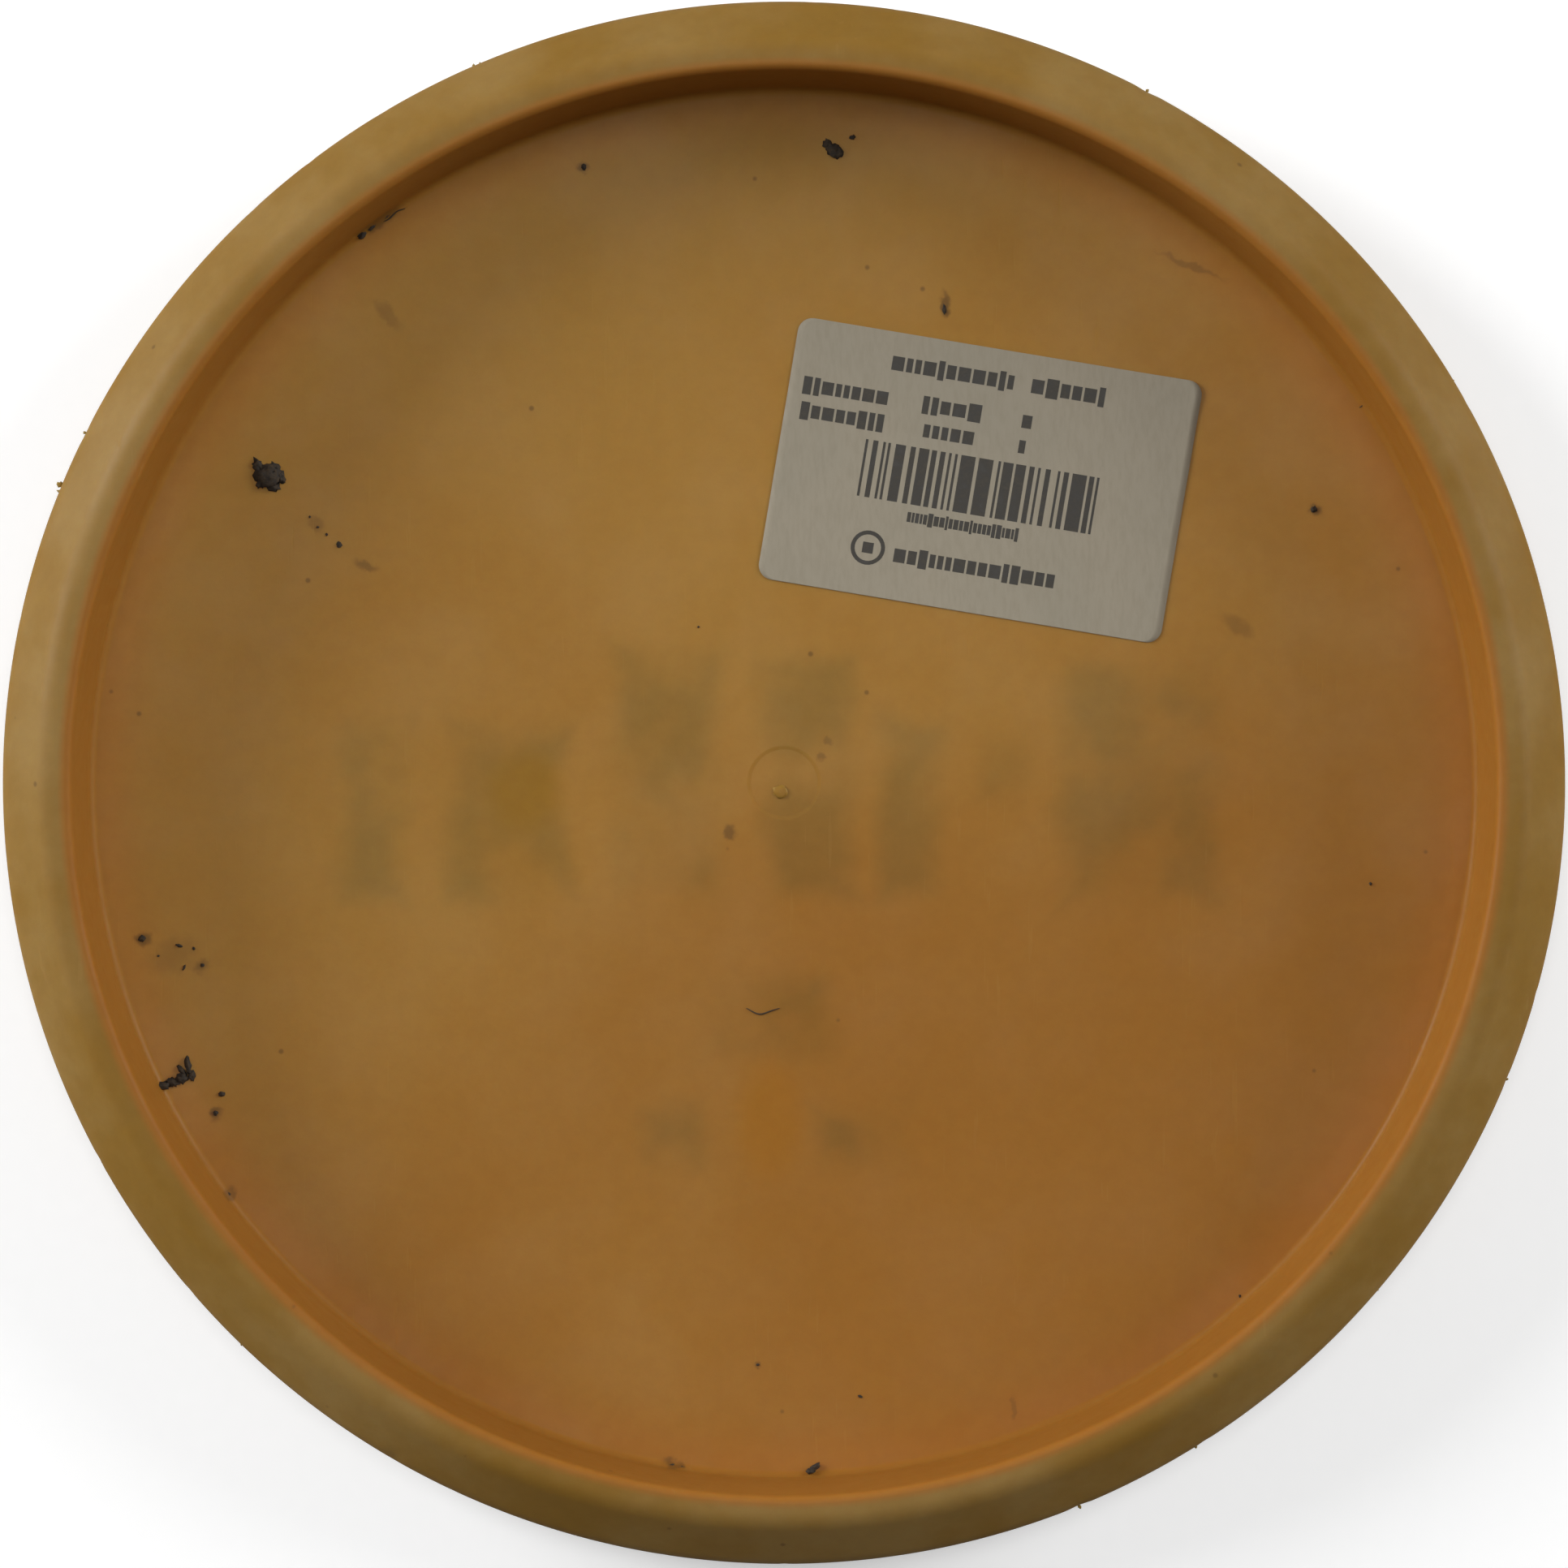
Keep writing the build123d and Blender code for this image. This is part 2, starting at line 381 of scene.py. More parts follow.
def plastic():
    """The disc's moulded plastic: golden, a little translucent, scuffed, with dirt in the scuffs, and painted
    light: a falloff across the plate, a glow at the inner wall, shade on the rim and a sheen among its dust.
    """
    material, tree, shader = new_material("golden_plastic")
    place = object_place(tree)
    parts = node(tree, "ShaderNodeSeparateXYZ", None, {"Vector": place})
    flat = vector_calc(tree, "MULTIPLY", place, (1.0, 1.0, 0.0))
    radius = node(tree, "ShaderNodeVectorMath", {"operation": "LENGTH"}, {0: flat}).outputs["Value"]
    height = parts.outputs["Z"]

    # Zones: the rim, the foot of its inner wall, and the underside of the plate.
    rim = smooth(tree, radius, 94.6 * MM, 96.2 * MM)
    above = smooth(tree, height, 2.0 * MM, 2.3 * MM)
    foot_in = smooth(tree, radius, 86.0 * MM, 94.5 * MM)
    foot = calc(tree, "MULTIPLY", foot_in, smooth(tree, radius, 94.8 * MM, 96.0 * MM, 1.0, 0.0))

    # Painted light falloff across the plate: paler towards the far left, deeper towards the near right, with
    # random uneven tone over it.
    slope = vector_calc(tree, "MULTIPLY", place, (2.2, -3.4, 0.0))
    slopes = node(tree, "ShaderNodeSeparateXYZ", None, {"Vector": slope})
    uneven = calc(tree, "ADD", slopes.outputs["X"], slopes.outputs["Y"])
    uneven = calc(tree, "ADD", uneven, clouds(tree, place, 14.0, 3.0, 0.55))
    colour = mix(tree, smooth(tree, uneven, 0.15, 0.85), PLATE_GOLD, PLATE_ORANGE)
    # Painted glow: the plate near the foot of the wall is a deeper orange, for light bounced and carried
    # through the plastic.
    foot_glow_share = calc(tree, "MULTIPLY", foot, 0.45)
    colour = mix(tree, foot_glow_share, colour, FOOT_GLOW_ORANGE)
    # The rim's paler patches are dust with a painted sheen.
    dust_and_sheen = smooth(tree, clouds(tree, place, 38.0, 4.0, 0.6), 0.35, 0.68)
    # The rim is painted darker than the plate, as shade: both are one plastic.
    colour = mix(tree, rim, colour, mix(tree, dust_and_sheen, RIM_GOLD_SHADED, RIM_DUST_AND_SHEEN))
    # Painted glow: the inner wall is a deeper orange, for light carried through the rim.
    wall_out = smooth(tree, radius, 95.9 * MM, 97.2 * MM, 1.0, 0.0)
    wall = calc(tree, "MULTIPLY", smooth(tree, radius, 94.6 * MM, 95.2 * MM), wall_out)
    colour = mix(tree, calc(tree, "MULTIPLY", wall, 0.85), colour, WALL_GLOW_ORANGE)

    ghost = calc(tree, "MULTIPLY", show_through(tree, place), above)
    colour = mix(tree, calc(tree, "MULTIPLY", ghost, 0.85), colour, GHOST_TINT, "MULTIPLY")
    yellow = calc(tree, "MULTIPLY", spots(tree, place, YELLOWED), above)
    colour = mix(tree, yellow, colour, (1.03, 0.94, 0.42), "MULTIPLY")

    wobble = node(tree, "ShaderNodeTexNoise", None, {"Vector": place, "Scale": 700.0, "Detail": 3.0})
    shift = vector_calc(tree, "SUBTRACT", wobble.outputs["Color"], (0.5, 0.5, 0.5))
    jagged = vector_calc(tree, "ADD", place, vector_calc(tree, "MULTIPLY", shift, (2 * MM, 2 * MM, 0.0)))
    below_wall = smooth(tree, height, 4.5 * MM, 7.0 * MM, 1.0, 0.0)
    on_plate = calc(tree, "MULTIPLY", above, below_wall)
    stains = calc(tree, "MULTIPLY", spots(tree, jagged, STAINS), on_plate)
    colour = mix(tree, stains, colour, STAIN)

    fine = clouds(tree, place, 420.0, 5.0, 0.7)
    colour = mix(tree, smooth(tree, fine, 0.30, 0.70, 0.0, 0.28), colour, (0.80, 0.76, 0.70), "MULTIPLY")
    cells = node(tree, "ShaderNodeTexVoronoi", None, {"Vector": place, "Scale": 260.0, "Randomness": 1.0})
    lot = node(tree, "ShaderNodeSeparateColor", None, {"Color": cells.outputs["Color"]}).outputs[0]
    chosen = calc(tree, "GREATER_THAN", lot, 0.93)
    specks = calc(tree, "MULTIPLY", smooth(tree, cells.outputs["Distance"], 0.05, 0.13, 1.0, 0.0), chosen)
    colour = mix(tree, calc(tree, "MULTIPLY", specks, 0.55), colour, STAIN)

    ways = (0.5, -0.9, 1.9)
    worn = add_up(tree, [scratches(tree, place, way, 900.0 + 90.0 * way, 0.68) for way in ways])
    colour = mix(tree, calc(tree, "MULTIPLY", worn, 0.07), colour, SCRATCH)
    put(tree, shader.inputs["Base Color"], colour)

    satin = smooth(tree, clouds(tree, place, 55.0, 4.0, 0.6), 0.3, 0.7, 0.40, 0.54)
    rougher = calc(tree, "MULTIPLY", rim, 0.10)
    rough = calc(tree, "ADD", calc(tree, "ADD", satin, rougher), calc(tree, "MULTIPLY", worn, 0.15))
    put(tree, shader.inputs["Roughness"], rough)
    shader.inputs["Subsurface Weight"].default_value = 0.30
    shader.inputs["Subsurface Radius"].default_value = (1.0, 0.45, 0.15)
    shader.inputs["Subsurface Scale"].default_value = 5.0 * MM
    shader.inputs["Specular IOR Level"].default_value = 0.12

    grain = clouds(tree, place, 1500.0, 3.0, 0.6)
    dents = clouds(tree, place, 230.0, 3.0, 0.5)
    waves = clouds(tree, place, 40.0, 2.0, 0.5)
    relief = calc(tree, "MULTIPLY_ADD", grain, 0.05, calc(tree, "MULTIPLY", dents, 0.10))
    relief = calc(tree, "MULTIPLY_ADD", waves, 0.6, relief)
    relief = calc(tree, "MULTIPLY_ADD", worn, -0.02, relief)
    bump = node(tree, "ShaderNodeBump", None, {"Height": relief, "Strength": 0.5, "Distance": 0.5 * MM})
    put(tree, shader.inputs["Normal"], bump.outputs["Normal"])
    return material


def paper():
    """The label's matt paper: a little grey, with fibres, faint creases and handling marks."""
    material, tree, shader = new_material("label_paper_matt")
    place = object_place(tree)
    fibres = clouds(tree, stretched(tree, place, 0.3, (1700.0, 420.0, 900.0)), 1.0, 4.0, 0.6)
    soft = clouds(tree, place, 60.0, 3.0)
    colour = mix(tree, smooth(tree, soft, 0.3, 0.7), (0.300, 0.262, 0.196), (0.284, 0.252, 0.190))
    colour = mix(tree, smooth(tree, fibres, 0.35, 0.75, 0.0, 0.35), colour, (0.235, 0.205, 0.150))
    put(tree, shader.inputs["Base Color"], colour)
    put(tree, shader.inputs["Roughness"], smooth(tree, fibres, 0.3, 0.7, 0.62, 0.78))
    shader.inputs["Specular IOR Level"].default_value = 0.3
    bump = node(tree, "ShaderNodeBump", None, {"Height": fibres, "Strength": 0.25, "Distance": 0.03 * MM})
    put(tree, shader.inputs["Normal"], bump.outputs["Normal"])
    return material


def ink():
    """Thermal print: dark brown-black, paler where the head pressed less."""
    material, tree, shader = new_material("thermal_print")
    place = object_place(tree)
    fade = clouds(tree, place, 900.0, 4.0, 0.7)
    colour = mix(tree, smooth(tree, fade, 0.40, 0.72, 0.0, 0.5), (0.020, 0.016, 0.010), (0.060, 0.050, 0.034))
    put(tree, shader.inputs["Base Color"], colour)
    put(tree, shader.inputs["Roughness"], smooth(tree, fade, 0.3, 0.7, 0.5, 0.65))
    return material


def mud():
    """Dried soil: nearly black, matt and crumbly."""
    material, tree, shader = new_material("dried_mud")
    place = object_place(tree)
    grit = clouds(tree, place, 1800.0, 5.0, 0.7)
    colour = mix(tree, smooth(tree, grit, 0.40, 0.66), MUD, (0.050, 0.032, 0.016))
    put(tree, shader.inputs["Base Color"], colour)
    put(tree, shader.inputs["Roughness"], smooth(tree, grit, 0.3, 0.7, 0.75, 0.95))
    bump = node(tree, "ShaderNodeBump", None, {"Height": grit, "Strength": 0.8, "Distance": 0.15 * MM})
    put(tree, shader.inputs["Normal"], bump.outputs["Normal"])
    return material


def foil():
    """Hot-stamped foil: dark metal, rubbed thin where the disc has slid."""
    material, tree, shader = new_material("stamped_foil")
    place = object_place(tree)
    rubbed = scratches(tree, place, 0.2, 700.0, 0.60)
    patches = smooth(tree, clouds(tree, place, 120.0, 5.0, 0.65), 0.52, 0.64)
    bare = calc(tree, "MAXIMUM", rubbed, calc(tree, "MULTIPLY", patches, 0.8))
    # Rubbed-bare patches show the plastic in the rim's colour, painted shade included.
    put(tree, shader.inputs["Base Color"], mix(tree, bare, (0.11, 0.11, 0.12), RIM_GOLD_SHADED))
    put(tree, shader.inputs["Metallic"], smooth(tree, bare, 0.2, 0.8, 0.9, 0.0))
    put(tree, shader.inputs["Roughness"], smooth(tree, bare, 0.0, 1.0, 0.30, 0.55))
    grain = clouds(tree, place, 900.0, 3.0)
    bump = node(tree, "ShaderNodeBump", None, {"Height": grain, "Strength": 0.3, "Distance": 0.05 * MM})
    put(tree, shader.inputs["Normal"], bump.outputs["Normal"])
    return material


def glue():
    """The adhesive under the label: clear amber, tacky, uneven."""
    material, tree, shader = new_material("clear_adhesive")
    place = object_place(tree)
    uneven = clouds(tree, place, 300.0, 4.0)
    put(tree, shader.inputs["Base Color"], mix(tree, uneven, (0.30, 0.22, 0.11), (0.36, 0.29, 0.17)))
    put(tree, shader.inputs["Roughness"], smooth(tree, uneven, 0.3, 0.7, 0.25, 0.45))
    return material


def card():
    """The floor: pale card that keeps a soft shadow, shows white to the camera and bounces little."""
    material, tree, shader = new_material("white_card")
    place = object_place(tree)
    tooth = clouds(tree, place, 500.0, 4.0)
    path = node(tree, "ShaderNodeLightPath")
    seen = mix(tree, tooth, (0.86, 0.86, 0.86), (0.90, 0.90, 0.90))
    unseen = (0.30, 0.30, 0.30)
    put(tree, shader.inputs["Base Color"], mix(tree, path.outputs["Is Camera Ray"], unseen, seen))
    shader.inputs["Roughness"].default_value = 0.9
    shader.inputs["Specular IOR Level"].default_value = 0.1
    shader.inputs["Emission Color"].default_value = (1.0, 1.0, 1.0, 1.0)
    put(tree, shader.inputs["Emission Strength"], calc(tree, "MULTIPLY", path.outputs["Is Camera Ray"], 0.25))
    return material


# ---------------------------------------------------------------- the disc


def crown_height(radius, lift=0.0):
    """Height of the crown at that radius, raised by lift along its normal."""
    if radius <= FLAT_RADIUS:
        return lift
    return CROWN_RADIUS - math.sqrt((CROWN_RADIUS - lift) ** 2 - (radius - FLAT_RADIUS) ** 2)


def plate_height(x, y):
    """Height of the plate's underside, which faces up, at a place on it."""
    return crown_height(math.hypot(x, y), PLATE_THICKNESS)


def arc(centre, radius, start, end, steps):
    """Points on an arc of the section, without its last one."""
    turns = [start + (end - start) * i / steps for i in range(steps)]
    return [(centre[0] + radius * math.cos(t), centre[1] + radius * math.sin(t)) for t in turns]


def line(start, end, steps):
    """Points on a straight stretch of the section, without its last one."""
    shares = [i / steps for i in range(steps)]
    return [(start[0] + (end[0] - start[0]) * s, start[1] + (end[1] - start[1]) * s) for s in shares]


def nose_and_shoulder():
    """Centres of the nose's and the shoulder's arcs, from what they touch."""
    x = DISC_RADIUS - NOSE_RADIUS
    land_outer = INNER_WALL_RADIUS + INNER_EDGE_RADIUS + LAND_WIDTH
    run = (land_outer - x) / math.tan(BEVEL_NORMAL)
    growth = (OUTER_EDGE_RADIUS - NOSE_RADIUS) / math.sin(BEVEL_NORMAL)
    nose = Vector((x, DISC_HEIGHT - OUTER_EDGE_RADIUS + run + growth))
    gap = nose - Vector((FLAT_RADIUS, CROWN_RADIUS))
    to_crown = CROWN_RADIUS - SHOULDER_RADIUS
    to_nose = SHOULDER_RADIUS - NOSE_RADIUS
    along = (to_crown**2 - to_nose**2 + gap.length**2) / (2 * gap.length)
    aside = math.sqrt(to_crown**2 - along**2)
    away = (gap * along + Vector((gap.y, -gap.x)) * aside) / gap.length
    return nose, Vector((FLAT_RADIUS, CROWN_RADIUS)) + away


def bearing(start, end):
    """Direction from start to end in the section."""
    return math.atan2(end[1] - start[1], end[0] - start[0])


def section():
    """The section's points, from the top's middle round the rim to the underside's middle."""
    nose, shoulder = nose_and_shoulder()
    crown = (FLAT_RADIUS, CROWN_RADIUS)
    crown_end = bearing(crown, shoulder)
    nose_start = bearing(shoulder, nose)
    land_inner = INNER_WALL_RADIUS + INNER_EDGE_RADIUS
    land_outer = land_inner + LAND_WIDTH
    corner_x = INNER_WALL_RADIUS - CORNER_RADIUS
    corner = (corner_x, crown_height(corner_x, PLATE_THICKNESS + CORNER_RADIUS))
    corner_end = bearing(crown, corner)
    edge = (land_outer, DISC_HEIGHT - OUTER_EDGE_RADIUS)
    inner = (land_inner, DISC_HEIGHT - INNER_EDGE_RADIUS)
    edge_arc = arc(edge, OUTER_EDGE_RADIUS, BEVEL_NORMAL, math.pi / 2, 7)
    bevel_start = arc(nose, NOSE_RADIUS, BEVEL_NORMAL, BEVEL_NORMAL, 1)[0]
    under = CROWN_RADIUS - PLATE_THICKNESS
    dish_edge = (GATE_DISH_RADIUS, PLATE_THICKNESS)
    dish_foot = (GATE_DISH_RADIUS - 0.3 * MM, PLATE_THICKNESS - GATE_DISH_DEPTH)
    down = -math.pi / 2
    points = line((0.0, 0.0), (FLAT_RADIUS, 0.0), 7)
    points += arc(crown, CROWN_RADIUS, down, crown_end, 8)
    points += arc(shoulder, SHOULDER_RADIUS, crown_end, nose_start, 9)
    points += arc(nose, NOSE_RADIUS, nose_start, BEVEL_NORMAL, 13)
    points += line(bevel_start, edge_arc[0], 5)
    points += edge_arc
    points += line((land_outer, DISC_HEIGHT), (land_inner, DISC_HEIGHT), 2)
    points += arc(inner, INNER_EDGE_RADIUS, math.pi / 2, math.pi, 6)
    points += line((INNER_WALL_RADIUS, inner[1]), (INNER_WALL_RADIUS, corner[1]), 5)
    points += arc(corner, CORNER_RADIUS, 0.0, corner_end, 6)
    points += arc(crown, under, corner_end, down, 12)
    ring = 0.2 * MM
    before_dish = (dish_edge[0] + ring, PLATE_THICKNESS)
    after_dish = (dish_foot[0] - ring, dish_foot[1])
    points += line((FLAT_RADIUS, PLATE_THICKNESS), before_dish, 6)
    points += [before_dish, dish_edge, dish_foot, after_dish]
    return points + line(after_dish, (0.0, dish_foot[1]), 3)[1:]


def turned(points, steps):
    """Vertices and faces of the section turned round the axis, closed at both poles."""
    rings = np.array(points[1:])
    turns = np.arange(steps) * 2 * math.pi / steps
    x = rings[:, :1] * np.cos(turns)
    y = rings[:, :1] * np.sin(turns)
    z = np.repeat(rings[:, 1:], steps, 1)
    body = np.stack([x, y, z], -1).reshape(-1, 3)
    poles = np.array([[0, 0, points[0][1]], [0, 0, points[-1][1]]])
    faces = []
    for i in range(len(rings) - 1):
        low, high = i * steps, (i + 1) * steps
        faces += [(low + j, low + (j + 1) % steps, high + (j + 1) % steps, high + j) for j in range(steps)]
    last = (len(rings) - 1) * steps
    faces += [(len(body), (j + 1) % steps, j) for j in range(steps)]
    faces += [(last + j, last + (j + 1) % steps, len(body) + 1) for j in range(steps)]
    return np.concatenate([body, poles]), faces


def dent(points, centre, radius, depth):
    """Pushes the rim in around a place: a ding from a tree or a stone."""
    away = np.linalg.norm(points - np.array(centre), axis=1)
    share = np.clip(1 - away / radius, 0, 1) ** 2
    inward = -points.copy()
    inward[:, 2] = 0
    inward /= np.maximum(np.linalg.norm(inward, axis=1, keepdims=True), 1e-9)
    inward[:, 2] = -0.35
    points += inward * (share * depth)[:, None]


def rim_place(angle, height, radius=DISC_RADIUS):
    """A place on the rim: angle in degrees from +X, height in mm."""
    a = math.radians(angle)
    return (radius * math.cos(a), radius * math.sin(a), height * MM)


# Larger dings in the rim: angle, height, radius and depth in mm.
DINGS = [
    (153.4, 11.5, 2.2, 0.30),
    (166.0, 14.0, 2.6, 0.22),
    (121.0, 12.0, 2.0, 0.25),
    (62.3, 11.0, 2.4, 0.35),
    (-22.3, 11.0, 1.8, 0.25),
    (-67.8, 10.5, 2.6, 0.32),
    (-120.0, 12.5, 2.2, 0.25),
    (-165.0, 13.0, 1.8, 0.20),
]


def wear_rim(points):
    """Dings and many small nicks in a used rim."""
    for angle, height, radius, depth in DINGS:
        dent(points, rim_place(angle, height, DISC_RADIUS - 1 * MM), radius * MM, depth * MM)
    for _ in range(70):
        angle = random.uniform(0, 360)
        height = random.uniform(6.5, 15.5)
        inset = max(0.0, height - 13.0) * MM
        radius = random.uniform(0.9, 1.7) * MM
        depth = random.uniform(0.03, 0.12) * MM
        dent(points, rim_place(angle, height, DISC_RADIUS - inset), radius, depth)


def mesh_piece(name, vertices, faces, material, smooth_faces=True):
    """A mesh object with one material."""
    mesh = bpy.data.meshes.new(name)
    mesh.from_pydata([tuple(v) for v in vertices], [], faces)
    mesh.validate()
    mesh.polygons.foreach_set("use_smooth", [smooth_faces] * len(mesh.polygons))
    mesh.materials.append(material)
    return link(bpy.data.objects.new(name, mesh))


def make_disc():
    """The moulded disc, turned from its section, then worn."""
    vertices, faces = turned(section(), 1000)
    wear_rim(vertices)
    piece = mesh_piece("disc_body", vertices, faces, PLASTIC)
    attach(piece, "root")
    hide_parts("disc")
    return piece


# ---------------------------------------------------------------- lumps: mud, burrs, gate stub


def ball(rings, sides):
    """Vertices and faces of a unit ball."""
    vertices = [(0.0, 0.0, 1.0)]
    for i in range(1, rings):
        t = math.pi * i / rings
        for j in range(sides):
            a = 2 * math.pi * j / sides
            vertices.append((math.sin(t) * math.cos(a), math.sin(t) * math.sin(a), math.cos(t)))
    vertices.append((0.0, 0.0, -1.0))
    faces = [(0, 1 + j, 1 + (j + 1) % sides) for j in range(sides)]
    for i in range(rings - 2):
        low, high = 1 + i * sides, 1 + (i + 1) * sides
        faces += [(low + j, high + j, high + (j + 1) % sides, low + (j + 1) % sides) for j in range(sides)]
    low = 1 + (rings - 2) * sides
    faces += [(low + j, len(vertices) - 1, low + (j + 1) % sides) for j in range(sides)]
    return vertices, faces


class Lumps:
    """Gathers many small lumps into one mesh."""

    def __init__(self):
        self.vertices = []
        self.faces = []

    def add(self, middle, size, turn=0.0, rough=0.45, grain=1.6, rings=9, sides=14):
        """One lump: an ellipsoid of half-sizes size, roughened by noise."""
        shape, faces = ball(rings, sides)
        offset = len(self.vertices)
        seed = Vector([random.uniform(-50, 50) for _ in range(3)])
        c, s = math.cos(turn), math.sin(turn)
        for v in shape:
            v = Vector(v)
            coarse = noise.noise(v * grain + seed)
            fine = noise.noise(v * grain * 2.3 + seed)
            swell = 1 + rough * (coarse + 0.5 * fine)
            x, y, z = (v.x * size[0] * swell, v.y * size[1] * swell, v.z * size[2] * swell)
            self.vertices.append((middle[0] + x * c - y * s, middle[1] + x * s + y * c, middle[2] + z))
        self.faces += [tuple(i + offset for i in f) for f in faces]

    def on_plate(self, x, y, width, length, height, turn=0.0, rough=0.45, grain=1.6):
        """A lump lying on the plate's underside. Sizes are in mm, turn in degrees."""
        middle = (x * MM, y * MM, plate_height(x * MM, y * MM) + 0.25 * height * MM)
        size = (width * MM / 2, length * MM / 2, height * MM / 2)
        self.add(middle, size, math.radians(turn), rough, grain)

    def piece(self, name, material):
        made = mesh_piece(name, self.vertices, self.faces, material)
        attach(made, "root")
        return made


# Crumbs of mud on the plate: x, y, width, length, height in mm, turn in degrees.
CLOD_LEFT = [
    (-71.0, 42.2, 3.6, 3.0, 1.3, 20),
    (-72.4, 43.6, 1.3, 1.7, 0.8, 15),
    (-70.1, 43.3, 1.8, 1.2, 0.9, -30),
    (-69.2, 42.0, 1.2, 1.6, 0.8, 10),
    (-70.4, 40.8, 1.9, 1.2, 0.8, -20),
    (-71.9, 41.2, 1.6, 1.1, 0.7, 40),
]
CLOD_LOW = [
    (-85.4, -41.6, 2.2, 1.2, 0.9, 8),
    (-84.0, -41.1, 1.8, 1.1, 0.9, -15),
    (-82.7, -40.6, 1.8, 1.3, 1.0, 30),
    (-81.9, -38.9, 0.8, 2.4, 0.8, 8),
    (-82.8, -39.4, 0.7, 1.6, 0.6, 35),
    (-81.4, -40.2, 0.9, 1.4, 0.7, -10),
]
CRUMBS = [
    (-61.3, 32.8, 0.7, 0.9, 0.35, 20),
    (-64.2, 35.2, 0.4, 0.3, 0.20, 0),
    (-63.0, 34.2, 0.3, 0.4, 0.20, 0),
    (-65.3, 36.6, 0.3, 0.3, 0.15, 0),
    (-77.3, -42.8, 0.9, 0.7, 0.45, 10),
    (-78.1, -45.4, 0.6, 0.7, 0.35, 0),
    (-83.2, -22.4, 0.9, 0.4, 0.30, -15),
    (-82.5, -25.4, 0.3, 0.9, 0.30, -25),
    (-81.2, -22.8, 0.4, 0.4, 0.20, 0),
    (-86.0, -23.8, 0.3, 0.3, 0.20, 0),
    (-80.0, -25.1, 0.5, 0.5, 0.20, 0),
    (-88.2, -21.4, 1.0, 0.8, 0.35, 20),
    (6.7, 87.0, 1.6, 2.4, 0.80, 35),
    (7.5, 86.6, 1.2, 1.5, 0.70, -20),
    (5.9, 87.9, 1.0, 1.2, 0.50, 0),
    (9.4, 88.7, 0.8, 0.6, 0.40, 20),
    (-27.5, 84.6, 0.7, 0.9, 0.40, 10),
    (72.9, 37.6, 1.0, 0.8, 0.50, 0),
    (80.7, -13.9, 0.4, 0.4, 0.25, 0),
    (22.1, 65.2, 0.5, 1.3, 0.25, 5),
    (10.5, -84.4, 0.6, 0.4, 0.25, -20),
    (-3.6, -80.1, 0.4, 0.3, 0.20, 0),
    (-35.6, -89.5, 0.8, 0.5, 0.30, -30),
    (28.3, -92.4, 2.4, 0.9, 0.70, 25),
    (29.2, -91.9, 0.9, 0.6, 0.50, 30),
    (4.2, -94.0, 1.5, 0.9, 0.90, 30),
    (3.6, -94.5, 1.2, 0.7, 1.20, 10),
    (-15.4, -93.7, 0.7, 0.5, 0.35, 0),
    (-13.9, -94.0, 0.7, 0.4, 0.35, -20),
    (-57.9, 75.2, 1.5, 0.9, 0.80, 40),
    (-56.6, 76.3, 1.2, 0.6, 0.50, 40),
    (-54.4, 77.9, 1.6, 0.4, 0.35, 38),
    (-76.2, -56.6, 0.5, 0.9, 0.25, 20),
    (62.6, -70.5, 0.3, 0.4, 0.15, 0),
    (-11.8, 21.5, 0.3, 0.3, 0.15, 0),
]


def make_mud():
    """Dried mud: two clods and a scatter of crumbs."""
    lumps = Lumps()
    for x, y, width, length, height, turn in CLOD_LEFT + CLOD_LOW:
        lumps.on_plate(x, y, width, length, height, turn, rough=0.75, grain=2.2)
    for x, y, width, length, height, turn in CRUMBS:
        lumps.on_plate(x, y, width, length, height, turn, rough=0.6, grain=1.9)
    lumps.add(rim_place(96.8, 14.9, 101.6 * MM), (0.3 * MM, 0.25 * MM, 0.15 * MM))
    return lumps.piece("mud_crumbs", MUD_SOIL)


# Flakes torn up at the nose: angle in degrees, height, size and how far it stands out, in mm.
BURRS = [
    (157.6, 9.8, 0.75, 0.75),
    (158.1, 9.2, 0.40, 0.50),
    (153.4, 10.2, 0.40, 0.35),
    (113.4, 10.0, 0.45, 0.30),
    (112.9, 9.7, 0.30, 0.25),
    (62.3, 10.0, 0.45, 0.35),
    (-22.3, 9.8, 0.40, 0.30),
    (-58.2, 9.8, 0.40, 0.35),
    (-67.8, 9.9, 0.45, 0.45),
    (-40.5, 9.9, 0.25, 0.20),
    (-134.0, 9.9, 0.30, 0.20),
    (31.0, 9.9, 0.25, 0.20),
]


def make_burrs():
    """Small flakes of plastic that dings have torn up at the nose."""
    lumps = Lumps()
    for angle, height, size, out in BURRS:
        middle = rim_place(angle, height, DISC_RADIUS + out * MM * 0.35)
        half = (out * MM * 0.75, size * MM * 0.45, size * MM * 0.22)
        lumps.add(middle, half, math.radians(angle), rough=0.7, grain=2.0)
    made = lumps.piece("rim_burrs", PLASTIC)
    return made


def make_gate():
    """The stub that was left where the mould's gate was cut off."""
    lumps = Lumps()
    middle = (*GATE_MIDDLE, PLATE_THICKNESS - GATE_DISH_DEPTH + 0.05 * MM)
    lumps.add(middle, (1.0 * MM, 0.95 * MM, 0.28 * MM), math.radians(24), rough=0.25, grain=1.2)
    made = lumps.piece("gate_stub", PLASTIC)
    return made


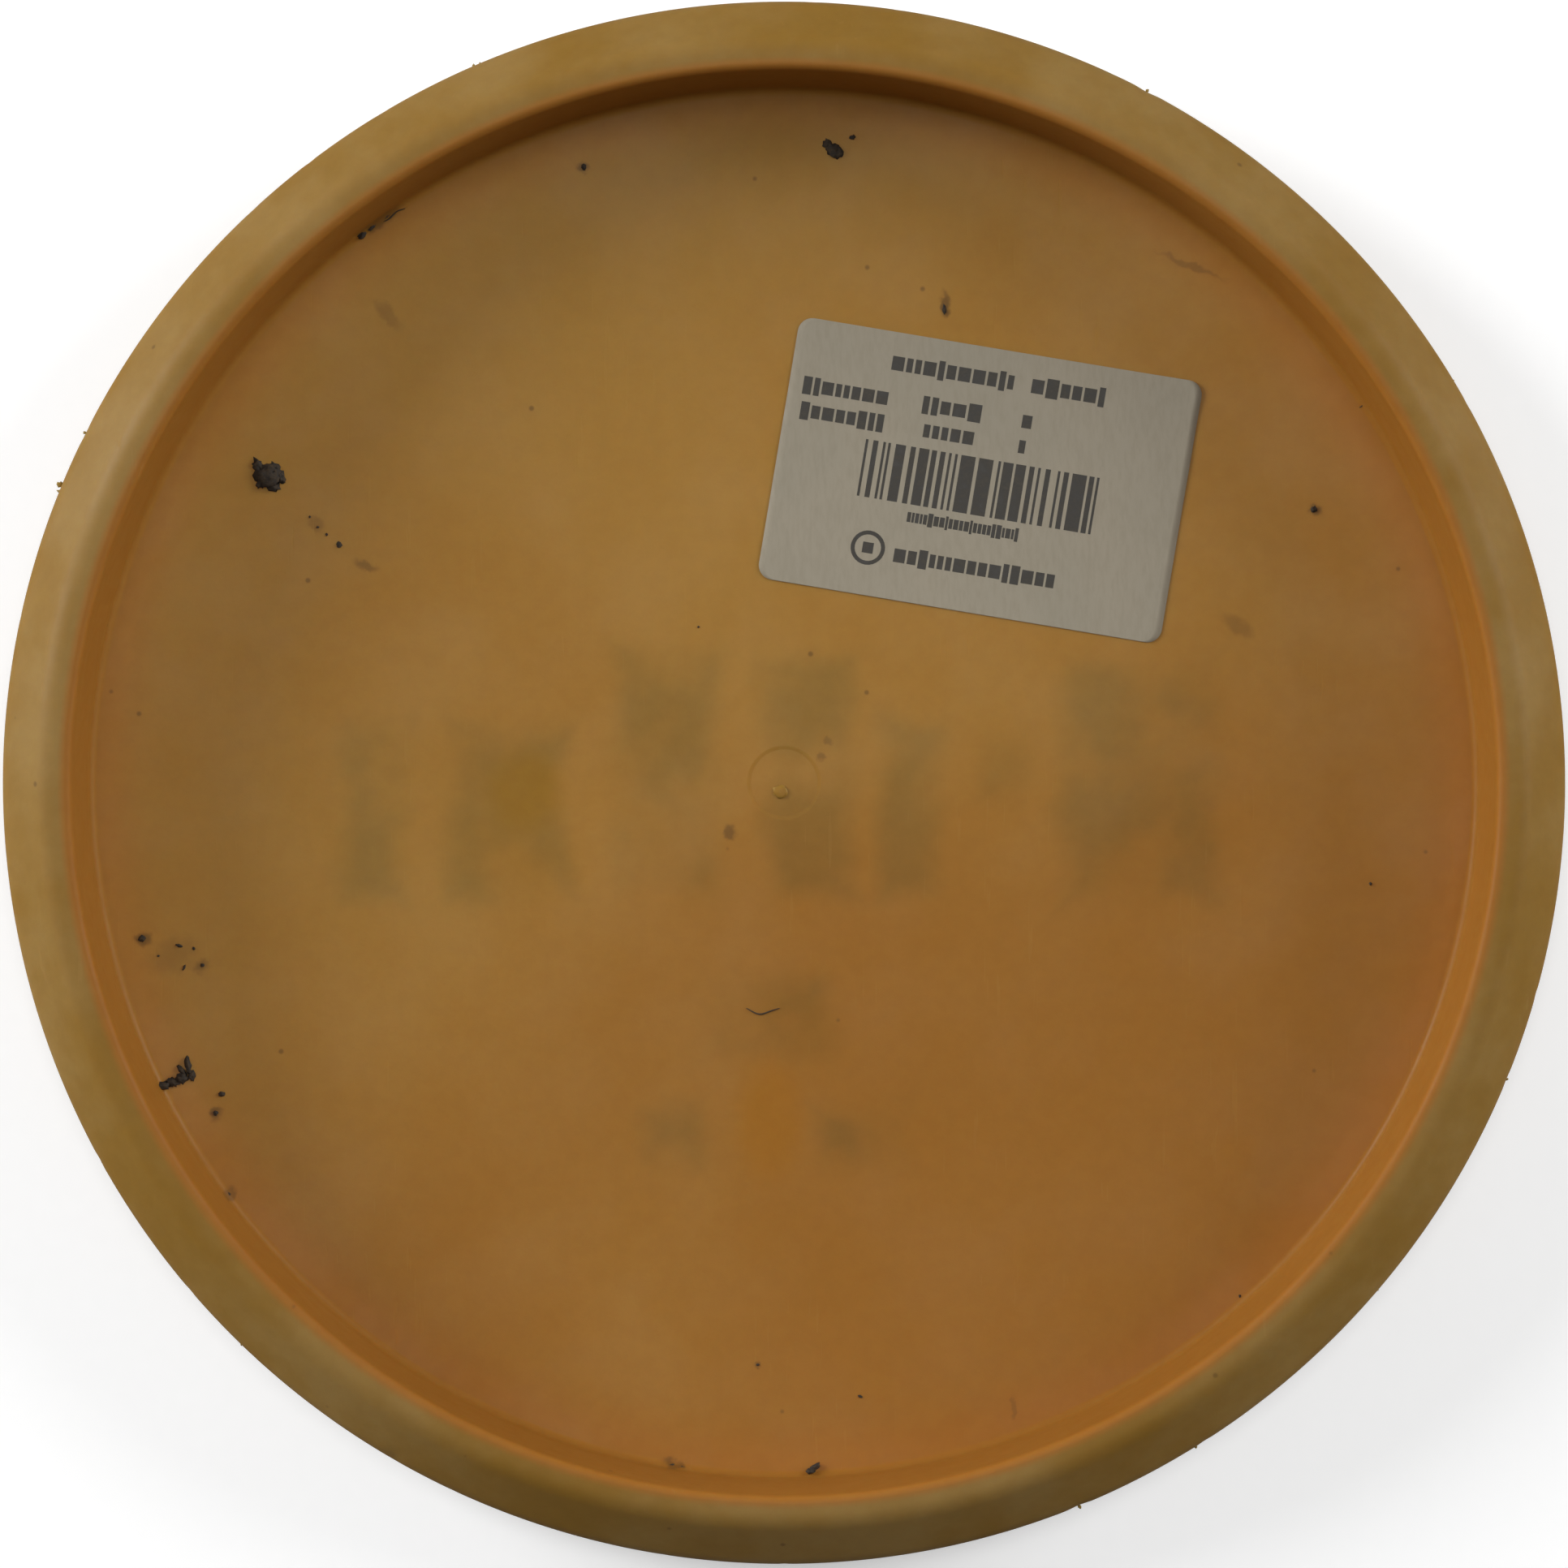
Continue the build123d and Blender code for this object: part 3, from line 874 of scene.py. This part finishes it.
def tube(points, radius, sides=8):
    """A thin tube along points, closed at its ends."""
    vertices, faces = [], []
    for i, p in enumerate(points):
        ahead = points[min(i + 1, len(points) - 1)] - points[max(i - 1, 0)]
        across = Vector((-ahead.y, ahead.x, 0)).normalized()
        taper = math.sin(math.pi * (i + 0.6) / (len(points) + 0.2)) ** 0.5
        for j in range(sides):
            a = 2 * math.pi * j / sides
            up = Vector((0, 0, math.sin(a)))
            vertices.append(p + (across * math.cos(a) + up) * radius * taper)
    for i in range(len(points) - 1):
        for j in range(sides):
            k = (j + 1) % sides
            faces.append((i * sides + j, i * sides + k, (i + 1) * sides + k, (i + 1) * sides + j))
    faces.append(tuple(range(sides))[::-1])
    faces.append(tuple(range((len(points) - 1) * sides, len(points) * sides)))
    return vertices, faces


# Short dark fibres lying on the plate: start, how it bows, end, in mm.
FIBRES = [
    ((-5.2, -31.2), (-3.0, -32.5), (-0.6, -31.0)),
    ((79.0, 51.6), (79.8, 52.2), (80.7, 51.9)),
    ((-52.0, 79.0), (-53.6, 78.2), (-55.0, 76.9)),
]


def make_fibres():
    """Short dark fibres stuck to the plate."""
    vertices, faces = [], []
    for start, middle, end in FIBRES:
        points = []
        for i in range(13):
            t = i / 12
            x = (1 - t) ** 2 * start[0] + 2 * t * (1 - t) * middle[0] + t * t * end[0]
            y = (1 - t) ** 2 * start[1] + 2 * t * (1 - t) * middle[1] + t * t * end[1]
            y += 0.12 * math.sin(9 * t + start[0])
            points.append(Vector((x * MM, y * MM, plate_height(x * MM, y * MM) + 0.06 * MM)))
        made, joined = tube(points, 0.11 * MM)
        faces += [tuple(i + len(vertices) for i in f) for f in joined]
        vertices += made
    piece = mesh_piece("dark_fibres", vertices, faces, MUD_SOIL)
    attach(piece, "root")
    return piece


# ---------------------------------------------------------------- label


def on_label(u, v):
    """A place on the disc from label coordinates: u along it, v across it."""
    c, s = math.cos(LABEL_TURN), math.sin(LABEL_TURN)
    return LABEL_MIDDLE.x + u * c - v * s, LABEL_MIDDLE.y + u * s + v * c


def label_lift(u, v):
    """How far the label stands off the plate: rucks near its edges and one lifted corner."""
    edge_u = max(0.0, abs(u) / (LABEL_LENGTH / 2) - 0.86) / 0.14
    edge_v = max(0.0, abs(v) / (LABEL_WIDTH / 2) - 0.80) / 0.20
    ruck = 0.5 + noise.noise(Vector((u * 160, v * 160, 3.0)))
    corner = max(0.0, (u / LABEL_LENGTH + v / LABEL_WIDTH) - 0.82) / 0.18
    return (0.05 * max(edge_u, edge_v) ** 2 * ruck + 0.30 * corner**2) * MM


def label_point(u, v, lift):
    """A point over the label's underside."""
    x, y = on_label(u, v)
    return (x, y, plate_height(x, y) + PAPER_LIFT + label_lift(u, v) + lift)


def rounded_rows(length, width, corner, columns, rows):
    """Rows of (u, v) that fill a rectangle with rounded corners."""
    grid = []
    bend = [corner * (1 - math.cos(math.pi / 2 * i / 6)) for i in range(6)]
    middle = np.linspace(-width / 2 + corner, width / 2 - corner, rows)
    levels = [-width / 2 + b for b in bend] + list(middle) + [width / 2 - b for b in bend[::-1]]
    for v in levels:
        over = max(0.0, abs(v) - (width / 2 - corner))
        half = length / 2 - corner + math.sqrt(max(corner**2 - over**2, 0.0))
        grid.append([(half * (2 * j / columns - 1), v) for j in range(columns + 1)])
    return grid


def sheet_solid(grid, low, high):
    """Vertices and faces of a thin closed sheet. low and high give a point for (u, v)."""
    rows, columns = len(grid), len(grid[0])
    flat = [uv for row in grid for uv in row]
    vertices = [low(*uv) for uv in flat] + [high(*uv) for uv in flat]
    top = len(flat)
    faces = []
    for i in range(rows - 1):
        for j in range(columns - 1):
            a, b = i * columns + j, (i + 1) * columns + j
            faces.append((top + a, top + a + 1, top + b + 1, top + b))
            faces.append((a, b, b + 1, a + 1))
    ring = [j for j in range(columns)]
    ring += [i * columns + columns - 1 for i in range(1, rows)]
    ring += [(rows - 1) * columns + j for j in range(columns - 2, -1, -1)]
    ring += [i * columns for i in range(rows - 2, 0, -1)]
    for k, a in enumerate(ring):
        b = ring[(k + 1) % len(ring)]
        faces.append((a, b, top + b, top + a))
    return vertices, faces


def make_label():
    """The label's paper, curved with the plate."""
    grid = rounded_rows(LABEL_LENGTH, LABEL_WIDTH, LABEL_CORNER_RADIUS, 56, 33)
    vertices, faces = sheet_solid(
        grid,
        lambda u, v: label_point(u, v, 0.0),
        lambda u, v: label_point(u, v, PAPER_THICKNESS),
    )
    piece = mesh_piece("price_label_paper", vertices, faces, PAPER)
    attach(piece, "root")
    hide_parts("price_label")
    return piece


class Print:
    """Gathers printed marks into one thin mesh on the label. Sizes are in mm."""

    def __init__(self):
        self.vertices = []
        self.faces = []

    def patch(self, corners):
        """A straight-sided mark from its four corners, cut into short pieces along its longer way."""
        a, b, c, d = [Vector(p) for p in corners]
        tall = max(1, round((d - a).length / 1.5))
        wide = max(1, round((b - a).length / 1.5))
        grid = []
        for i in range(tall + 1):
            left = a.lerp(d, i / tall)
            right = b.lerp(c, i / tall)
            grid.append([tuple(left.lerp(right, j / wide) * MM) for j in range(wide + 1)])
        vertices, faces = sheet_solid(
            grid,
            lambda u, v: label_point(u, v, PAPER_THICKNESS - 0.01 * MM),
            lambda u, v: label_point(u, v, PAPER_THICKNESS + 0.012 * MM),
        )
        self.faces += [tuple(i + len(self.vertices) for i in f) for f in faces]
        self.vertices += vertices

    def bar(self, u, v, width, height):
        """An upright rectangle about its middle."""
        x, y = width / 2, height / 2
        self.patch([(u - x, v - y), (u + x, v - y), (u + x, v + y), (u - x, v + y)])

    def word(self, u, v, length, height, weight):
        """A word that can't be read: a row of plain dashes of uneven width."""
        at = u - length / 2
        while at < u + length / 2 - weight:
            width = min(random.choice((1.0, 1.5, 2.0)) * weight, u + length / 2 - at)
            self.bar(at + width / 2, v, width, height * random.choice((0.72, 0.72, 0.72, 1.0)))
            at += width + 0.40 * weight

    def ring(self, u, v, radius, weight, sides=28):
        """A plain ring."""
        for k in range(sides):
            a, b = 2 * math.pi * k / sides, 2 * math.pi * (k + 1) / sides
            inner, outer = radius - weight / 2, radius + weight / 2
            corners = [(outer, a), (outer, b), (inner, b), (inner, a)]
            self.patch([(u + r * math.cos(t), v + r * math.sin(t)) for r, t in corners])


def make_print():
    """The label's print, generic: unreadable rows, made-up bars and a plain ring."""
    marks = Print()
    for u, length in ((-5.6, 18.0), (10.4, 11.0)):
        marks.word(u, 14.0, length, 2.7, 0.85)
    for v, first, second, third in ((9.0, 12.0, 8.4, 2.2), (5.5, 11.6, 7.0, 2.0)):
        marks.word(-20.2, v, first, 2.5, 0.80)
        marks.word(-5.3, v, second, 2.5, 0.90)
        marks.word(5.5, v, third, 2.5, 0.90)
    at, end = -16.4, 17.0
    while at < end:
        width = random.choice((0.35, 0.35, 0.7, 0.7, 1.05, 1.4, 2.0))
        width = min(width, end - at + 0.2)
        marks.bar(at + width / 2, -0.9, width, 7.9)
        at += width + random.choice((0.35, 0.35, 0.5, 0.7, 1.0, 1.4))
    marks.word(-1.3, -6.6, 15.5, 1.9, 0.34)
    marks.ring(-13.7, -11.7, 2.1, 0.55)
    marks.bar(-13.7, -11.7, 1.5, 1.5)
    marks.word(1.2, -12.1, 22.4, 2.6, 0.80)
    piece = mesh_piece("label_print", marks.vertices, marks.faces, INK, smooth_faces=False)
    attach(piece, "root")
    return piece


# ---------------------------------------------------------------- stamp on the top


def make_stamp():
    """The foil blocks on the disc's top, a hair proud of it."""
    vertices, faces = [], []
    leans = [STAMP_LEAN] * len(BAND_BLOCKS) + [0.0] * len(EMBLEM_BLOCKS)
    for (x, y, width, height), lean in zip(BAND_BLOCKS + EMBLEM_BLOCKS, leans):
        grid = rounded_rows(width * MM, height * MM, 0.8 * MM, max(4, round(width)), max(4, round(height)))
        corner = (x * MM, y * MM)

        def place(u, v, lift):
            px, py = corner[0] + u + v * lean * 2, corner[1] + v
            return (px, py, crown_height(math.hypot(px, py)) + lift)

        made, joined = sheet_solid(
            grid,
            lambda u, v: place(u, v, -0.015 * MM),
            lambda u, v: place(u, v, 0.03 * MM),
        )
        faces += [tuple(i + len(vertices) for i in f) for f in joined]
        vertices += made
    piece = mesh_piece("stamp_film", vertices, faces, FOIL)
    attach(piece, "root")
    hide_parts("stamp_foil")
    return piece


def make_floor():
    """The card that the disc lies on."""
    size, cells, drop = 3.0, 24, 0.05 * MM
    steps = [size * (i / cells - 0.5) for i in range(cells + 1)]
    vertices = [(x, y, -drop) for y in steps for x in steps]
    row = cells + 1
    corners = [i * row + j for i in range(cells) for j in range(cells)]
    faces = [(a, a + 1, a + row + 1, a + row) for a in corners]
    mesh_piece("floor_card", vertices, faces, card())


PLASTIC = plastic()
PAPER = paper()
INK = ink()
MUD_SOIL = mud()
FOIL = foil()

make_light()
make_floor()
make_disc()
make_gate()
make_burrs()
make_mud()
make_fibres()
make_label()
make_print()
make_stamp()

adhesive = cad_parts["label_adhesive"]
adhesive.data.materials.clear()
adhesive.data.materials.append(glue())
